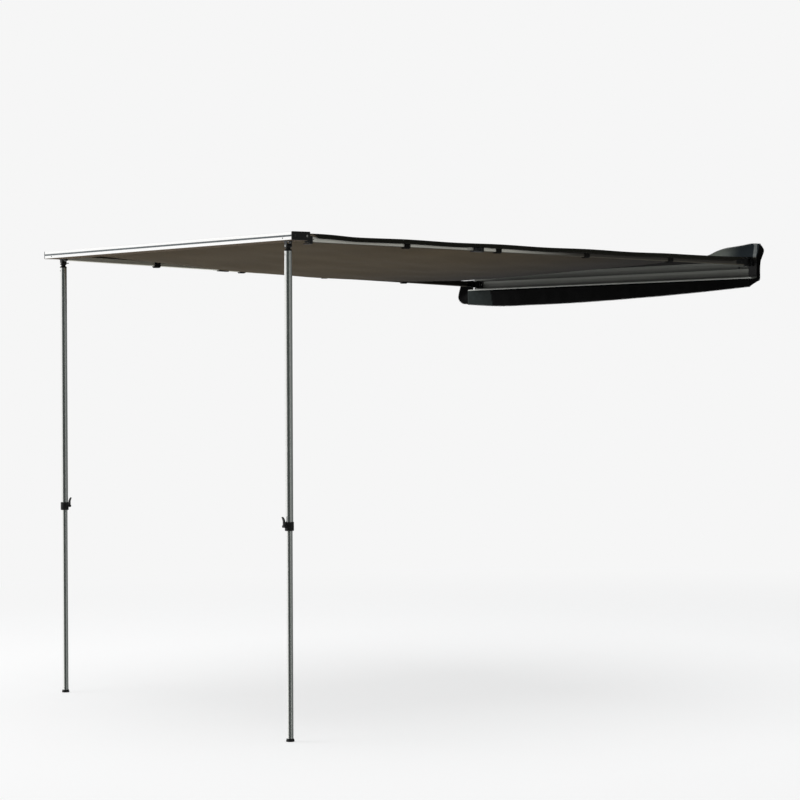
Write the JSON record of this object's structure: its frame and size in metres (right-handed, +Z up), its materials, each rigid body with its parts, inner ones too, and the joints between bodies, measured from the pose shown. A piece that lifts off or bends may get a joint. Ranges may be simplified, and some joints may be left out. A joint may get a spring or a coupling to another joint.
{
  "type": "vehicle side awning",
  "caption": "Pull-out side awning for a vehicle roof rack, with canvas sheet, folding telescopic arms and legs, and an open fabric cover.",
  "frame": {"origin": "middle of the backboard's flat rear face", "axes": "+X along the vehicle to the near end, -Y out from the vehicle, +Z up"},
  "size_m": [2.1592, 2.6118, 1.9925],
  "materials": {
    "mill_aluminium": "bright mill finish, drawn",
    "anodised_aluminium": "dull anodised extrusion",
    "steel": "zinc plated",
    "black_plastic": "moulded, fine grain",
    "black_steel": "powder coated",
    "canvas": "coated woven canvas",
    "webbing": "woven hook and loop strap",
    "coated_fabric": "coated cover fabric, slight sheen"
  },
  "bodies": {
    "root": {"backboard": "anodised_aluminium", "rear_bead": "canvas", "canopy_sheet": "canvas", "cover_far_end": "coated_fabric", "cover_near_end": "coated_fabric", "rack_bracket_far": "black_steel", "rack_bracket_near": "black_steel", "tee_bolt_far_high": "steel", "tee_bolt_far_low": "steel", "tee_bolt_near_high": "steel", "tee_bolt_near_low": "steel", "near_arm_bracket": "black_steel", "near_arm_pin": "steel", "far_arm_bracket": "black_steel", "far_arm_pin": "steel", "near_strap_1": "webbing", "near_strap_2": "webbing", "near_strap_3": "webbing", "near_strap_4": "webbing", "far_strap_1": "webbing", "far_strap_2": "webbing", "far_strap_3": "webbing", "far_strap_4": "webbing"},
    "front_beam": {"front_beam": "mill_aluminium", "front_bead": "canvas", "near_beam_cap": "black_plastic", "far_beam_cap": "black_plastic", "near_leg_fork": "black_steel", "near_leg_pin": "steel", "far_leg_fork": "black_steel", "far_leg_pin": "steel"},
    "cover_front": {"cover_front": "coated_fabric"},
    "cover_top": {"cover_top": "coated_fabric"},
    "near_arm": {"near_arm_knuckle": "black_plastic", "near_arm_outer": "mill_aluminium", "near_arm_collar": "black_plastic"},
    "near_arm_inner": {"near_arm_inner": "mill_aluminium", "near_arm_tip": "black_plastic"},
    "near_arm_lever": {"near_arm_lever": "black_plastic"},
    "near_leg": {"near_leg_head": "black_plastic", "near_leg_upper": "mill_aluminium", "near_leg_collar": "black_plastic"},
    "near_leg_lower": {"near_leg_lower": "mill_aluminium", "near_leg_foot": "black_plastic"},
    "near_leg_lever": {"near_leg_lever": "black_plastic"},
    "far_arm": {"far_arm_knuckle": "black_plastic", "far_arm_outer": "mill_aluminium", "far_arm_collar": "black_plastic"},
    "far_arm_inner": {"far_arm_inner": "mill_aluminium", "far_arm_tip": "black_plastic"},
    "far_arm_lever": {"far_arm_lever": "black_plastic"},
    "far_leg": {"far_leg_head": "black_plastic", "far_leg_upper": "mill_aluminium", "far_leg_collar": "black_plastic"},
    "far_leg_lower": {"far_leg_lower": "mill_aluminium", "far_leg_foot": "black_plastic"},
    "far_leg_lever": {"far_leg_lever": "black_plastic"}
  },
  "joints": [
    {"name": "canopy_reach", "type": "slide", "parent": "root", "child": "front_beam", "axis": [0, 0.9997, -0.0248], "range_m": [0, 0.75], "deforming": ["canopy_sheet", "near_strap_1", "near_strap_2", "near_strap_3", "near_strap_4", "far_strap_1", "far_strap_2", "far_strap_3", "far_strap_4"]},
    {"name": "near_arm_swing", "type": "hinge", "parent": "root", "child": "near_arm", "pos_m": [0.972, -0.034, 0.028], "axis": [-0.0061, -0.0156, -0.9999], "range_deg": [0, 90]},
    {"name": "near_arm_reach", "type": "slide", "parent": "near_arm", "child": "near_arm_inner", "axis": [0, 0.9999, -0.0156], "range_m": [0, 0.75]},
    {"name": "near_arm_lever_swing", "type": "hinge", "parent": "near_arm", "child": "near_arm_lever", "pos_m": [0.99296, -1.56492, 0.04518], "axis": [0.0061, 0.0156, 0.9999], "range_deg": [0, 100]},
    {"name": "near_leg_swing", "type": "hinge", "parent": "front_beam", "child": "near_leg", "pos_m": [0.94, -2.478, 0.039], "axis": [0, 1, 0], "range_deg": [0, 90]},
    {"name": "near_leg_reach", "type": "slide", "parent": "near_leg", "child": "near_leg_lower", "axis": [0, 0, 1], "range_m": [-0.1, 0.75]},
    {"name": "near_leg_lever_swing", "type": "hinge", "parent": "near_leg", "child": "near_leg_lever", "pos_m": [0.94, -2.502, -1.0568], "axis": [1, 0, 0], "range_deg": [0, 100]},
    {"name": "far_arm_swing", "type": "hinge", "parent": "root", "child": "far_arm", "pos_m": [-0.972, -0.034, -0.016], "axis": [0.0061, 0.034, 0.9994], "range_deg": [0, 90]},
    {"name": "far_arm_reach", "type": "slide", "parent": "far_arm", "child": "far_arm_inner", "axis": [0, 0.9994, -0.034], "range_m": [0, 0.75]},
    {"name": "far_arm_lever_swing", "type": "hinge", "parent": "far_arm", "child": "far_arm_lever", "pos_m": [-0.99304, -1.56433, 0.02976], "axis": [-0.0061, -0.034, -0.9994], "range_deg": [0, 100]},
    {"name": "far_leg_swing", "type": "hinge", "parent": "front_beam", "child": "far_leg", "pos_m": [-0.94, -2.436, 0.039], "axis": [0, -1, 0], "range_deg": [0, 90]},
    {"name": "far_leg_reach", "type": "slide", "parent": "far_leg", "child": "far_leg_lower", "axis": [0, 0, 1], "range_m": [-0.1, 0.75]},
    {"name": "far_leg_lever_swing", "type": "hinge", "parent": "far_leg", "child": "far_leg_lever", "pos_m": [-0.94, -2.412, -1.0568], "axis": [-1, 0, 0], "range_deg": [0, 100]},
    {"name": "cover_front_swing", "type": "hinge", "parent": "root", "child": "cover_front", "pos_m": [0, -0.0563, -0.044], "axis": [-1, 0, 0], "range_deg": [0, 85], "deforming": ["cover_far_end", "cover_near_end"]},
    {"name": "cover_top_swing", "type": "hinge", "parent": "root", "child": "cover_top", "pos_m": [0, -0.0013, 0.0488], "axis": [1, 0, 0], "range_deg": [0, 60]}
  ],
  "couplings": [
    {"joint": "near_arm_reach", "follows": "canopy_reach", "ratio": 1},
    {"joint": "far_arm_reach", "follows": "canopy_reach", "ratio": 1}
  ]
}
